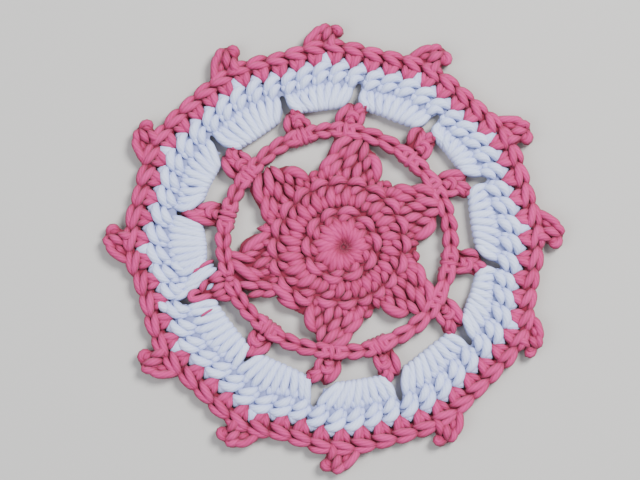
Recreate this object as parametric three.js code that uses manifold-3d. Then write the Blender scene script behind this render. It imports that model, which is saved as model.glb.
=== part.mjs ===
// A round crochet coaster lying flat: a star in its middle, a chain ring with twelve leaves,
// a band of twelve shells in white, and a coral edging with twelve picots.
//
// Millimetres, +Z up. The origin is under the middle of the coaster, on the surface it lies on.
// Angles are in degrees, counter-clockwise from +X, seen from above.
// Each length of yarn is one solid: the coral middle, the white band and the coral edging.
// The stitches are raised in the top faces, and the underside is flat.

import * as THREE from "three";
import { mergeVertices } from "three/addons/utils/BufferGeometryUtils.js";
import Module from "manifold-3d";

const wasm = await Module();
wasm.setup();

// Driving dimensions

const yarnWidth = 2.3;
const fabricThickness = 4.4;
const backingThickness = 2.9;
const sideHeight = 2.1;
const undersideInset = 0.5;
const pieceGap = 0.3;
const teethGapShare = 1.2;
const leafGapShare = 1.55;
const slitEndWidth = 0.5;
const leastRowStep = 0.35;

const stitchesPerShell = 5;
const firstStitchShare = 0.11;
const coralTeethDepth = 8.1;
const whiteTeethDepth = 5.3;
const toothLiftAfterPicot = 1.7;

const chainWidth = 4.3;
const linkLength = 4.9;
const leafMargin = 1.0;
const slitMouthDepth = 4.5;

const starCentre = new THREE.Vector2(2.8, -0.4);
const starValleyWidth = 3.9;

const coral = 0xd4617f;
const white = 0xe9ebf4;

// One row for each of the twelve sectors, counter-clockwise.
// slit, slitTop, slitWidth and slitLean: angle of the cut before the shell, radius of its closed
// end, its width where it opens, and how many degrees it leans there. edge: radius of the shell's
// inner edge. chain: radius of the chain ring.
// picot and reach: angle of the picot and radius of its top. rimAtPicot and rimBetween: radius
// of the edging under the picot, and half-way to the next one.
const sectors = [
  {
    slit: 23.5, slitTop: 49.3, slitWidth: 2.6, slitLean: 2.0, edge: 42.9, chain: 34.6,
    picot: 31.5, reach: 67.8, rimAtPicot: 61.9, rimBetween: 60.5,
  },
  {
    slit: 51.5, slitTop: 49.6, slitWidth: 2.0, slitLean: 0.4, edge: 41.1, chain: 34.3,
    picot: 61.5, reach: 67.5, rimAtPicot: 61.3, rimBetween: 59.9,
  },
  {
    slit: 81.0, slitTop: 49.3, slitWidth: 1.8, slitLean: 1.2, edge: 40.5, chain: 34.6,
    picot: 91.5, reach: 66.2, rimAtPicot: 61.3, rimBetween: 59.7,
  },
  {
    slit: 109.5, slitTop: 48.1, slitWidth: 1.3, slitLean: -0.3, edge: 39.2, chain: 34.0,
    picot: 119.5, reach: 67.8, rimAtPicot: 61.6, rimBetween: 61.6,
  },
  {
    slit: 138.3, slitTop: 49.2, slitWidth: 1.4, slitLean: 1.0, edge: 40.8, chain: 33.2,
    picot: 149.5, reach: 68.1, rimAtPicot: 62.8, rimBetween: 61.0,
  },
  {
    slit: 168.0, slitTop: 48.7, slitWidth: 0.9, slitLean: 0.6, edge: 37.6, chain: 32.9,
    picot: 178.0, reach: 67.8, rimAtPicot: 61.9, rimBetween: 59.0,
  },
  {
    slit: 200.3, slitTop: 48.6, slitWidth: 2.2, slitLean: 0.2, edge: 37.9, chain: 32.3,
    picot: 212.5, reach: 66.9, rimAtPicot: 60.5, rimBetween: 59.3,
  },
  {
    slit: 231.5, slitTop: 0.0, slitWidth: 0.0, slitLean: 0.0, edge: 37.9, chain: 31.4,
    picot: 241.5, reach: 66.0, rimAtPicot: 60.8, rimBetween: 58.7,
  },
  {
    slit: 262.5, slitTop: 47.4, slitWidth: 2.8, slitLean: 0.4, edge: 39.9, chain: 31.1,
    picot: 270.0, reach: 66.3, rimAtPicot: 61.0, rimBetween: 60.5,
  },
  {
    slit: 293.0, slitTop: 49.3, slitWidth: 2.0, slitLean: 1.2, edge: 40.5, chain: 32.3,
    picot: 300.5, reach: 66.6, rimAtPicot: 61.6, rimBetween: 61.0,
  },
  {
    slit: 324.0, slitTop: 49.6, slitWidth: 2.6, slitLean: 1.8, edge: 42.3, chain: 34.0,
    picot: 333.5, reach: 66.9, rimAtPicot: 62.8, rimBetween: 60.5,
  },
  {
    slit: 352.5, slitTop: 49.4, slitWidth: 1.6, slitLean: 1.4, edge: 40.8, chain: 34.3,
    picot: 363.0, reach: 67.5, rimAtPicot: 61.6, rimBetween: 60.5,
  },
];

// The leaves over the chain ring. Each place is an angle and a radius, at the middle of the yarn.
// side: up its clockwise side. corner, tip and inside: the hood on that side. heart: the knot in
// its middle. peak and limb: the strand down its other side. base: angles of its outer wraps.
const leaves = [
  {
    side: [[26.2, 35.5], [24.0, 37.6], [23.8, 39.4]], corner: [20.8, 40.9],
    tip: [22.1, 43.6], inside: [27.4, 40.8], heart: [28.4, 38.9],
    peak: [28.0, 43.7], limb: [[30.8, 41.7], [32.8, 38.7], [33.4, 36.1]],
    base: [27.2, 33.6],
  },
  {
    side: [[44.8, 35.8], [44.6, 38.2], [45.4, 40.2]], corner: [46.4, 42.4],
    tip: [48.2, 44.4], inside: [50.4, 41.2], heart: [47.9, 39.4],
    peak: [53.3, 43.2], limb: [[55.2, 41.0], [54.6, 38.4], [54.0, 36.9]],
    base: [44.8, 52.4],
  },
  {
    side: [[79.4, 35.8], [78.0, 37.6], [77.8, 39.8]], corner: [76.8, 41.2],
    tip: [77.8, 43.2], inside: [82.0, 40.6], heart: [82.2, 38.5],
    peak: [83.6, 42.3], limb: [[85.6, 40.4], [87.8, 38.2], [88.8, 35.8]],
    base: [80.8, 88.0],
  },
  {
    side: [[101.8, 35.2], [102.2, 37.3], [104.0, 38.4]], corner: [104.0, 40.2],
    tip: [106.1, 42.4], inside: [108.0, 40.6], heart: [106.2, 38.7],
    peak: [109.6, 41.0], limb: [[110.8, 39.3], [111.8, 37.3], [111.8, 35.8]],
    base: [102.4, 110.6],
  },
  {
    side: [[135.0, 34.3], [134.6, 36.4], [135.2, 38.4]], corner: [135.0, 40.4],
    tip: [137.0, 42.4], inside: [140.6, 39.9], heart: [139.2, 36.3],
    peak: [141.4, 41.9], limb: [[143.4, 39.9], [145.0, 37.3], [145.6, 34.9]],
    base: [136.0, 144.6],
  },
  {
    side: [[160.4, 35.8], [161.8, 38.4], [164.0, 40.8]], corner: [165.2, 42.6],
    tip: [167.8, 45.6], inside: [167.4, 39.9], heart: [164.8, 37.6],
    peak: [168.7, 44.6], limb: [[169.0, 41.4], [169.6, 38.2], [169.8, 35.8]],
    base: [160.0, 169.6],
  },
  {
    side: [[193.6, 34.6], [194.6, 36.6], [195.8, 38.8]], corner: [198.4, 41.2],
    tip: [199.2, 44.2], inside: [200.0, 43.2], heart: [199.4, 38.8],
    peak: [200.9, 44.4], limb: [[201.9, 41.6], [203.4, 38.4], [206.2, 35.2]],
    base: [194.4, 203.0],
  },
  {
    side: [[227.0, 33.8], [227.8, 36.1], [229.8, 38.0]], corner: [230.2, 39.4],
    tip: [231.4, 41.5], inside: [232.6, 38.4], heart: [231.2, 36.1],
    peak: [232.2, 40.8], limb: [[234.4, 38.3], [236.4, 36.5], [236.6, 34.0]],
    base: [227.0, 236.0],
  },
  {
    side: [[264.4, 32.6], [262.2, 34.6], [261.8, 36.4]], corner: [258.4, 37.9],
    tip: [259.6, 40.8], inside: [264.4, 38.0], heart: [267.0, 36.1],
    peak: [266.2, 40.4], limb: [[268.8, 38.8], [271.4, 36.4], [272.4, 33.8]],
    base: [264.6, 272.4],
  },
  {
    side: [[289.8, 34.0], [290.0, 36.4], [290.2, 38.4]], corner: [289.4, 40.8],
    tip: [290.9, 43.6], inside: [294.4, 40.2], heart: [293.0, 37.6],
    peak: [296.2, 41.8], limb: [[297.6, 39.6], [298.2, 37.3], [298.2, 35.2]],
    base: [289.8, 298.0],
  },
  {
    side: [[327.6, 35.2], [325.2, 37.3], [324.2, 39.2]], corner: [322.2, 40.9],
    tip: [322.8, 43.5], inside: [326.8, 41.2], heart: [329.4, 39.0],
    peak: [328.3, 43.7], limb: [[331.2, 41.4], [333.6, 38.4], [334.4, 36.1]],
    base: [328.2, 335.0],
  },
  {
    side: [[347.4, 35.5], [348.6, 37.6], [349.4, 39.4]], corner: [348.8, 42.4],
    tip: [350.2, 45.5], inside: [354.0, 42.0], heart: [352.0, 39.3],
    peak: [355.2, 42.4], limb: [[356.8, 40.8], [357.2, 38.4], [356.8, 36.9]],
    base: [347.4, 355.0],
  },
];

// The six points of the star, about the star's own centre.
const starPoints = [
  { tip: 30, reach: 31.4 },
  { tip: 87, reach: 32.8 },
  { tip: 141, reach: 32.8 },
  { tip: 194, reach: 33.4 },
  { tip: 264, reach: 29.4 },
  { tip: 327, reach: 30.2 },
];

// The star's first round: angle and radius of each stitch at its top.
const roundOneStitches = [
  { angle: -8, radius: 9.9 },
  { angle: 28, radius: 10.0 },
  { angle: 65, radius: 10.8 },
  { angle: 101, radius: 10.9 },
  { angle: 131, radius: 11.2 },
  { angle: 165, radius: 11.2 },
  { angle: 197, radius: 11.3 },
  { angle: 232, radius: 10.4 },
  { angle: 268, radius: 9.1 },
  { angle: 312, radius: 9.2 },
];

// The star's second round: the radius of its top at some angles, and the angles of its stitches.
const roundTwoTop = [
  { angle: 10, radius: 18.2 },
  { angle: 43, radius: 19.0 },
  { angle: 85, radius: 19.5 },
  { angle: 125, radius: 20.0 },
  { angle: 165, radius: 20.6 },
  { angle: 200, radius: 21.2 },
  { angle: 225, radius: 20.6 },
  { angle: 250, radius: 17.4 },
  { angle: 280, radius: 16.9 },
  { angle: 320, radius: 17.2 },
  { angle: 350, radius: 18.0 },
];
const roundTwoStitches = [
  13, 32, 51, 71, 88, 105, 122, 140, 157, 174, 191, 206, 223, 243, 265, 285, 301, 316, 334, 355,
];

// The star's disc, from its dimple out: share of the way from the centre to the first round's top
// (below 1) and from there to the second round's (from 1 to 2), and the heights on and between
// its stitches.
const discRows = [
  { share: 0.3, stitches: 10, crest: 4.0, groove: 3.2, lean: 0 },
  { share: 0.62, stitches: 10, crest: 3.9, groove: 3.1, lean: 0 },
  { share: 0.74, stitches: 10, crest: 3.2, groove: 3.6, lean: 4 },
  { share: 0.92, stitches: 10, crest: 4.4, groove: 3.7, lean: 8 },
  { share: 1.07, stitches: 20, crest: 3.1, groove: 2.9, lean: 4 },
  { share: 1.3, stitches: 20, crest: 4.2, groove: 3.0, lean: 2 },
  { share: 1.54, stitches: 20, crest: 4.3, groove: 3.2, lean: -2 },
  { share: 1.7, stitches: 20, crest: 3.5, groove: 4.2, lean: 0 },
  { share: 1.83, stitches: 20, crest: 4.2, groove: 3.4, lean: 2 },
  { share: 2.0, stitches: 20, crest: 4.4, groove: 3.7, lean: 6 },
  { share: 2.2, stitches: 20, crest: 3.4, groove: 3.1, lean: 6 },
];

// Outline of a star point: turn from its tip in degrees, and share of the way from valley to tip.
const starPointOutline = [
  { turn: -25, rise: -0.45 },
  { turn: -24, rise: 0.05 },
  { turn: -20, rise: 0.42 },
  { turn: -16, rise: 0.66 },
  { turn: -10, rise: 0.74 },
  { turn: -8, rise: 1.0 },
  { turn: 8, rise: 1.0 },
  { turn: 11, rise: 0.7 },
  { turn: 15, rise: 0.38 },
  { turn: 20, rise: 0.1 },
  { turn: 25, rise: -0.45 },
];

// Raised strands of a star point, given in the same way at both ends. A positive bow lies to the
// right of the line from one end to the other.
const starPointStrands = [
  { from: [-23, -0.25], to: [-11, 0.68], width: 2.9, bow: 0.9 },
  { from: [-12, -0.1], to: [-8, 0.98], width: 2.6, bow: 0.2 },
  { from: [-6, 0.95], to: [2, 0.2], width: 2.6, bow: 0.2 },
  { from: [-4, 1.08], to: [11, 0.5], width: 2.5, bow: 0.5 },
  { from: [-5, 0.28], to: [4, -0.2], width: 2.6, bow: 0.1 },
  { from: [4, 0.5], to: [19, -0.1], width: 2.9, bow: 0.6 },
  { from: [-9, -0.08], to: [-6, -0.62], width: 2.7, bow: 0.0 },
  { from: [4, 0.1], to: [13, -0.42], width: 2.7, bow: 0.2 },
];

// One link of the chain ring: share of its length, how far its two crests lie from the middle
// line, their height and the height between them, and how far its sides swell out.
const chainLink = [
  { along: 0.0, spread: 1.15, crest: 3.5, middle: 3.1, swell: -0.25 },
  { along: 0.35, spread: 1.25, crest: 4.4, middle: 3.2, swell: 0.1 },
  { along: 0.75, spread: 0.8, crest: 4.3, middle: 4.0, swell: -0.05 },
];

// Outline of a picot and its raised strands: millimetres along the rim and out from it.
const picotOutline = [
  [-2.2, -2.0], [6.4, -2.2], [7.4, -0.7], [6.0, 1.9], [4.5, 4.2], [2.2, 5.6],
  [0.4, 6.3], [-1.6, 5.9], [-3.8, 4.9], [-4.4, 3.0], [-3.2, 1.2], [-2.3, 0.2],
];
const picotStrands = [
  { from: [7.6, -1.9], to: [0.8, 5.0], width: 2.5, bow: 1.1 },
  { from: [1.4, -1.2], to: [-1.1, 5.8], width: 2.6, bow: 0.2 },
  { from: [-0.6, 5.2], to: [-3.0, 1.4], width: 2.4, bow: -1.1 },
  { from: [-0.7, -3.0], to: [-1.5, 2.4], width: 2.6, bow: 0.2 },
];

// Cross-section of a raised strand: share of its half width to each side, and height. Both ends
// of a strand run to a point at their own height.
const strandSection = [
  { side: -1, height: 2.0 },
  { side: -0.45, height: fabricThickness - 0.2 },
  { side: 0.45, height: fabricThickness - 0.2 },
  { side: 1, height: 2.0 },
];
const strandEndHeight = 2.7;

const radians = THREE.MathUtils.degToRad;

// Small helpers for places

function polar(angle, radius, centre = new THREE.Vector2()) {
  return new THREE.Vector2(Math.cos(radians(angle)), Math.sin(radians(angle)))
    .multiplyScalar(radius)
    .add(centre);
}

// A point near the place at this angle and radius: so far counter-clockwise, and so far outwards.
function beside(angle, radius, along, outwards) {
  const out = polar(angle, 1);
  return polar(angle, radius + outwards).add(
    new THREE.Vector2(-out.y, out.x).multiplyScalar(along),
  );
}

// A smooth function of the angle through the given stations, closed round the circle.
function roundAbout(stations) {
  const sorted = [...stations].sort((a, b) => a.angle - b.angle);
  return (angle) => {
    const first = sorted[0].angle;
    const turned = first + THREE.MathUtils.euclideanModulo(angle - first, 360);
    let next = sorted.findIndex((s) => s.angle > turned);
    if (next < 0) next = sorted.length;
    const before = sorted[next - 1];
    const after =
      next < sorted.length
        ? sorted[next]
        : { angle: first + 360, value: sorted[0].value };
    const share = THREE.MathUtils.smoothstep(turned, before.angle, after.angle);
    return THREE.MathUtils.lerp(before.value, after.value, share);
  };
}

const nextSector = (i) => sectors[(i + 1) % sectors.length];
const turnTo = (from, to) => THREE.MathUtils.euclideanModulo(to - from, 360);

const rimRadius = roundAbout(
  sectors.flatMap((s, i) => [
    { angle: s.picot % 360, value: s.rimAtPicot },
    {
      angle: (s.picot + turnTo(s.picot, nextSector(i).picot) / 2) % 360,
      value: s.rimBetween,
    },
  ]),
);
const shellEdgeRadius = roundAbout(
  sectors.map((s, i) => ({
    angle: (s.slit + turnTo(s.slit, nextSector(i).slit) / 2) % 360,
    value: s.edge,
  })),
);
const chainRadius = roundAbout(
  sectors.map((s) => ({ angle: (s.slit + 2) % 360, value: s.chain })),
);
const roundOneRadius = roundAbout(
  roundOneStitches.map((s) => ({ angle: (s.angle + 360) % 360, value: s.radius })),
);
const roundTwoRadius = roundAbout(
  roundTwoTop.map((s) => ({ angle: s.angle, value: s.radius })),
);
const starValleyRadius = (angle) => roundTwoRadius(angle) + starValleyWidth;

// The angles of the outer stitches: five over each shell, and a column half-way to the next stitch.
// The white tooth that follows a picot reaches farther out.
const outerColumns = sectors.flatMap((s, i) => {
  const pitch = turnTo(s.slit, nextSector(i).slit) / stitchesPerShell;
  return Array.from({ length: stitchesPerShell * 2 }, (_, n) => {
    const angle = s.slit + pitch * (firstStitchShare * stitchesPerShell + n / 2);
    const afterPicot = sectors.some(({ picot }) => turnTo(picot - 0.5, angle) < 5);
    return {
      angle,
      onStitch: n % 2 === 0,
      lift: n % 2 === 1 && afterPicot ? toothLiftAfterPicot : 0,
    };
  });
});

// Radius of the line between the white teeth and the coral ones.
const teethRadius = (column) =>
  rimRadius(column.angle) -
  (column.onStitch ? coralTeethDepth : whiteTeethDepth) +
  column.lift;

// Solids

function solidOf(geometry) {
  const bare = geometry.clone();
  bare.deleteAttribute("normal");
  bare.deleteAttribute("uv");
  const merged = mergeVertices(bare, 1e-4);
  return new wasm.Manifold(
    new wasm.Mesh({
      numProp: 3,
      vertProperties: new Float32Array(merged.attributes.position.array),
      triVerts: new Uint32Array(merged.index.array),
    }),
  );
}

function geometryOf(solid) {
  const mesh = solid.getMesh();
  return new THREE.BufferGeometry()
    .setAttribute("position", new THREE.BufferAttribute(mesh.vertProperties, 3))
    .setIndex(new THREE.BufferAttribute(mesh.triVerts, 1));
}

const joined = (solids) => solids.reduce((all, one) => all.add(one));

function geometryFrom(points, triangles) {
  return new THREE.BufferGeometry()
    .setAttribute(
      "position",
      new THREE.Float32BufferAttribute(points.flatMap((p) => p.toArray()), 3),
    )
    .setIndex(triangles.flat());
}

// A flat plate of the given outline, from the height of its foot to its top.
function plate(outline, top = backingThickness, foot = 0) {
  return solidOf(
    new THREE.ExtrudeGeometry(new THREE.Shape(outline), {
      depth: top - foot,
      bevelEnabled: false,
    }).translate(0, 0, foot),
  );
}

// The outline moved outwards by the given distance, with its sharp corners cut twice.
function grown(outline, distance) {
  const points = THREE.ShapeUtils.isClockWise(outline) ? [...outline].reverse() : outline;
  const outward = (a, b) => new THREE.Vector2(b.y - a.y, a.x - b.x).normalize();
  return points.flatMap((point, n) => {
    const before = outward(points[(n + points.length - 1) % points.length], point);
    const after = outward(point, points[(n + 1) % points.length]);
    const middle = before.clone().add(after).normalize();
    const moved = (way, amount) => point.clone().addScaledVector(way, amount);
    const sharp = before.dot(after) < 0.5;
    if (sharp && before.cross(after) > 0) {
      return [moved(before, distance), moved(middle, distance), moved(after, distance)];
    }
    return [moved(middle, distance / Math.max(middle.dot(before), 0.5))];
  });
}

// One raised strand from a to b, bowed sideways and tapered to both ends.
function strand(a, b, { width = yarnWidth, bow = 0 } = {}) {
  const along = b.clone().sub(a);
  const side = new THREE.Vector2(-along.y, along.x).normalize();
  const points = [new THREE.Vector3(a.x, a.y, strandEndHeight)];
  for (const share of [0.24, 0.76]) {
    const centre = a.clone().addScaledVector(along, share).addScaledVector(side, -bow);
    for (const corner of strandSection) {
      const out = (width / 2) * corner.side;
      points.push(
        new THREE.Vector3(centre.x + side.x * out, centre.y + side.y * out, corner.height),
      );
    }
  }
  points.push(new THREE.Vector3(b.x, b.y, strandEndHeight));
  const corners = strandSection.length;
  const last = points.length - 1;
  const triangles = [];
  for (let n = 0; n < corners; n++) {
    const m = (n + 1) % corners;
    triangles.push(
      [0, 1 + n, 1 + m],
      [1 + n, 1 + corners + n, 1 + corners + m],
      [1 + n, 1 + corners + m, 1 + m],
      [last, 1 + corners + m, 1 + corners + n],
    );
  }
  return solidOf(geometryFrom(points, triangles));
}

// One raised strand from a to b that passes close to the place between them.
function strandThrough(a, middle, b, width) {
  const along = b.clone().sub(a).normalize();
  const bow = middle.clone().sub(a).cross(along) * 0.7;
  return strand(a, b, { width, bow });
}

// A closed ring with a flat underside. Each row of the top gives angle, radius and height for
// every column, from the inner edge to the outer one.
function stitchedRing(rows, centre = new THREE.Vector2()) {
  const count = rows[0].length;
  const points = [];
  const add = (row) =>
    row.forEach(({ angle, radius, height }) => {
      const p = polar(angle, radius, centre);
      points.push(new THREE.Vector3(p.x, p.y, height));
    });
  rows.forEach(add);
  const underside = (row, inset) =>
    row.map((s) => ({ ...s, radius: s.radius + inset, height: 0 }));
  add(underside(rows[rows.length - 1], -undersideInset));
  add(underside(rows[0], undersideInset));
  const loops = rows.length + 2;
  const triangles = [];
  for (let loop = 0; loop < loops; loop++) {
    const next = (loop + 1) % loops;
    for (let n = 0; n < count; n++) {
      const m = (n + 1) % count;
      triangles.push(
        [loop * count + n, next * count + n, next * count + m],
        [loop * count + n, next * count + m, loop * count + m],
      );
    }
  }
  return solidOf(geometryFrom(points, triangles));
}

// A closed disc with a flat underside, built from rows as the ring is, with a dimple in its middle.
function stitchedDisc(rows, centre, dimpleHeight) {
  const count = rows[0].length;
  const points = rows.flatMap((row) =>
    row.map(({ angle, radius, height }) => {
      const p = polar(angle, radius, centre);
      return new THREE.Vector3(p.x, p.y, height);
    }),
  );
  const outer = rows[rows.length - 1];
  for (const { angle, radius } of outer) {
    const p = polar(angle, radius - undersideInset, centre);
    points.push(new THREE.Vector3(p.x, p.y, 0));
  }
  const dimple = points.length;
  points.push(new THREE.Vector3(centre.x, centre.y, dimpleHeight));
  const foot = points.length;
  points.push(new THREE.Vector3(centre.x, centre.y, 0));
  const triangles = [];
  for (let n = 0; n < count; n++) {
    const m = (n + 1) % count;
    triangles.push([dimple, n, m]);
    triangles.push([foot, rows.length * count + m, rows.length * count + n]);
    for (let row = 0; row < rows.length; row++) {
      const near = row * count;
      const far = near + count;
      triangles.push([near + n, far + n, far + m], [near + n, far + m, near + m]);
    }
  }
  return solidOf(geometryFrom(points, triangles));
}

// Coral middle: star, chain ring and leaves

// Two rounds of stitches, as rows of crests and grooves. Crests turn a little from row to row.
function starDisc() {
  const columns = roundTwoStitches.flatMap((angle, n) => {
    const next = roundTwoStitches[(n + 1) % roundTwoStitches.length];
    return [angle, angle + turnTo(angle, next) / 2];
  });
  const radiusAt = (angle, share) =>
    share < 1
      ? roundOneRadius(angle) * share
      : THREE.MathUtils.lerp(roundOneRadius(angle), roundTwoRadius(angle), share - 1);
  const rows = discRows.map(({ share, stitches, crest, groove, lean }) =>
    columns.map((angle, n) => ({
      angle: angle + lean,
      radius: radiusAt(angle, share),
      height: n % (columns.length / stitches) === 0 ? crest : groove,
    })),
  );
  const edge = columns.map((angle) => ({
    angle: angle + discRows[discRows.length - 1].lean,
    radius: starValleyRadius(angle),
    height: sideHeight,
  }));
  return stitchedDisc([...rows, edge], starCentre, 2.6);
}

function starPoint({ tip, reach }) {
  const valley = starValleyRadius(tip);
  const place = (turn, rise) =>
    polar(tip + turn, THREE.MathUtils.lerp(valley, reach, rise), starCentre);
  const outline = starPointOutline.map(({ turn, rise }) => place(turn, rise)).reverse();
  const strands = starPointStrands.map(({ from, to, width, bow }) =>
    strand(place(...from), place(...to), { width, bow }),
  );
  return joined([plate(outline), ...strands]);
}

// The chain ring: under each leaf it is plain, and between two leaves it shows as many links as
// there is room for. Each link is a pair of crests that starts wide apart and closes to one end.
function chainRing() {
  const columns = leaves.flatMap(({ base: [start, end] }, i) => {
    const [nextStart] = leaves[(i + 1) % leaves.length].base;
    const room = turnTo(end, nextStart) - 1;
    const radius = chainRadius(end);
    const links = Math.round((THREE.MathUtils.degToRad(room) * radius) / linkLength);
    const pitch = room / links;
    const steps = Array.from({ length: links }, (_, n) =>
      chainLink.map((step) => ({ ...step, angle: end + 0.5 + pitch * (n + step.along) })),
    );
    return [{ ...chainLink[0], angle: (start + end) / 2 }, ...steps.flat()];
  });
  const row = (offset, height) =>
    columns.map((c) => ({
      angle: c.angle,
      radius: chainRadius(c.angle) + offset(c),
      height: height(c),
    }));
  return stitchedRing([
    row((c) => -chainWidth / 2 - c.swell, () => sideHeight),
    row((c) => -c.spread, (c) => c.crest),
    row(() => 0, (c) => c.middle),
    row((c) => c.spread, (c) => c.crest),
    row((c) => chainWidth / 2 + c.swell, () => sideHeight),
  ]);
}

// Outline of a leaf, the given distance outside the middle of the yarn round it. Where its tip
// and peak lie side by side, there is no notch between them.
function leafOutline({ side, corner, tip, inside, peak, limb }, distance) {
  const parted = polar(...tip).distanceTo(polar(...peak)) > yarnWidth;
  const top = parted ? [tip, inside, peak] : [tip, peak];
  return grown([...side, corner, ...top, ...limb].map((place) => polar(...place)), distance);
}

// A leaf: three wraps round the chain, a hood, a knot, and a strand down its other side.
function leaf(row) {
  const { side, corner, tip, inside, heart, peak, limb, base } = row;
  const at = (place) => polar(...place);
  const [first, last] = base;
  const wraps = [first + 0.6, (first + last) / 2, last - 0.6].map((angle) =>
    strand(polar(angle, chainRadius(angle) - 2.6), polar(angle, chainRadius(angle) + 2.6), {
      width: 2.2,
    }),
  );
  return joined([
    plate(leafOutline(row, leafMargin)),
    ...wraps,
    strandThrough(at(side[0]), at(side[1]), at(side[2]), 1.9),
    strand(at(corner), at(heart), { width: 2.0 }),
    strand(at(tip), at(heart).lerp(at(inside), 0.4), { width: 2.2 }),
    strandThrough(at(peak), at(limb[0]).lerp(at(limb[1]), 0.5), at(limb[2]), 1.9),
    strand(at(heart).lerp(at(side[0]), 0.5), at(heart).lerp(at(limb[1]), 0.6), {
      width: 2.2,
      bow: -0.5,
    }),
  ]);
}

function coralMiddle() {
  return joined([starDisc(), ...starPoints.map(starPoint), chainRing(), ...leaves.map(leaf)]);
}

// White band: twelve shells of five stitches, under a round of single stitches

function shellBand() {
  // share: how far the row lies from the inner edge to the coral teeth.
  const rows = [
    { share: 0.0, crest: sideHeight, groove: sideHeight },
    { share: 0.1, crest: 4.2, groove: 3.1 },
    { share: 0.44, crest: 4.2, groove: 3.1 },
    { share: 0.62, crest: 3.6, groove: 4.4 },
    { share: 0.82, crest: 4.4, groove: 3.5 },
  ];
  const top = rows.map(({ share, crest, groove }) =>
    outerColumns.map((column) => ({
      angle: column.angle,
      radius: THREE.MathUtils.lerp(
        shellEdgeRadius(column.angle),
        rimRadius(column.angle) - coralTeethDepth,
        share,
      ),
      height: column.onStitch ? crest : groove,
    })),
  );
  const tooth = (inwards, crest, groove) =>
    outerColumns.map((column) => ({
      angle: column.angle,
      radius: teethRadius(column) - pieceGap * teethGapShare - inwards,
      height: column.onStitch ? crest : groove,
    }));
  top.push(tooth(1.3, 3.3, 4.2), tooth(0, sideHeight, sideHeight));
  const slits = sectors.filter(({ slitWidth }) => slitWidth > 0).map(slitCutter);
  const places = leaves.map((row) =>
    plate(leafOutline(row, leafMargin + pieceGap * leafGapShare), fabricThickness + 1, -1),
  );
  return [...slits, ...places].reduce(
    (band, cut) => band.subtract(cut),
    stitchedRing(top),
  );
}

// The cut between two shells: narrow at its closed end, and as wide as given at its mouth.
function slitCutter({ slit, slitTop, slitWidth, slitLean, edge }) {
  const mouth = slitTop - slitMouthDepth;
  const half = slitWidth / 2 + slitEndWidth / 2;
  return plate(
    [
      beside(slit, slitTop, slitEndWidth / 2, 0),
      beside(slit, slitTop, -slitEndWidth / 2, 0),
      beside(slit + slitLean, mouth, -half, 0),
      beside(slit + slitLean, edge - 1, -half, 0),
      beside(slit + slitLean, edge - 1, half, 0),
      beside(slit + slitLean, mouth, half, 0),
    ],
    fabricThickness + 1,
    -1,
  );
}

// Coral edging: a round of stitches with teeth into the white, a braided rim and twelve picots

function edgingRing() {
  const rows = [
    { depth: 5.2, crest: 4.1, groove: 3.0 },
    { depth: 3.6, crest: 3.3, groove: 4.2 },
    { depth: 2.1, crest: 4.4, groove: 3.2 },
    { depth: 0.8, crest: 3.2, groove: 4.1 },
  ];
  const innerRadius = (column) => teethRadius(column) + pieceGap * teethGapShare;
  const top = [
    outerColumns.map((column) => ({
      angle: column.angle,
      radius: innerRadius(column),
      height: sideHeight,
    })),
    ...rows.map(({ depth, crest, groove }, n) =>
      outerColumns.map((column) => ({
        angle: column.angle,
        radius: Math.max(
          rimRadius(column.angle) - depth,
          innerRadius(column) + leastRowStep * (n + 1),
        ),
        height: column.onStitch ? crest : groove,
      })),
    ),
    outerColumns.map((column) => ({
      angle: column.angle,
      radius: rimRadius(column.angle) + (column.onStitch ? -0.35 : 0.35),
      height: sideHeight,
    })),
  ];
  return stitchedRing(top);
}

function picot({ picot: angle, reach, rimAtPicot }) {
  const stretch = (reach - rimAtPicot) / 6.2;
  const at = (along, outwards) =>
    beside(angle, rimAtPicot, along, outwards > 0 ? outwards * stretch : outwards);
  const outline = picotOutline.map((place) => at(...place));
  return joined([
    plate(outline),
    ...picotStrands.map(({ from, to, width, bow }) =>
      strand(at(...from), at(...to), { width, bow }),
    ),
  ]);
}

function coralEdging() {
  return joined([edgingRing(), ...sectors.map(picot)]);
}

// The coaster

function cotton(colour) {
  return new THREE.MeshStandardMaterial({
    color: colour,
    roughness: 0.9,
    metalness: 0,
    flatShading: true,
  });
}

function piece(name, solid, colour) {
  const mesh = new THREE.Mesh(geometryOf(solid), cotton(colour));
  mesh.name = name;
  return mesh;
}

const coaster = new THREE.Group();
coaster.add(
  piece("star_and_chain_ring", coralMiddle(), coral),
  piece("shell_band", shellBand(), white),
  piece("picot_edging", coralEdging(), coral),
);

export default coaster;
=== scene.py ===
"""The looks of a crochet coaster: strands of soft cotton yarn, stitch by stitch.

Sizes in the tables are millimetres and degrees, counter-clockwise from +X, as in the part's
source. Blender objects are in metres.
"""

import math
import random

import bpy
import numpy as np
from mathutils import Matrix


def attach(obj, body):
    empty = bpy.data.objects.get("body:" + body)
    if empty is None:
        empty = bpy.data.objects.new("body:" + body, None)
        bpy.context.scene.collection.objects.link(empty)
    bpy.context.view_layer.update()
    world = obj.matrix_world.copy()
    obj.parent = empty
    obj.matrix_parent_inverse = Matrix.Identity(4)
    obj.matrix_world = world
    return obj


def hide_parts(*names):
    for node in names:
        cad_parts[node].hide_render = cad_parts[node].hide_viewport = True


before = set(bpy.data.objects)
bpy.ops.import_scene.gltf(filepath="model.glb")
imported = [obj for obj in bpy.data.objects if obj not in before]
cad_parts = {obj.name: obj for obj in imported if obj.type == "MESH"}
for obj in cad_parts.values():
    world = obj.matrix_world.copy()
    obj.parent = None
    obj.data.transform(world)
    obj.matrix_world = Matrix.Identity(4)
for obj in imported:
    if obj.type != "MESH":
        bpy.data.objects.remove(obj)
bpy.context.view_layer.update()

MM = 0.001
THICKNESS = 4.4
YARN = 2.3
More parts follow.
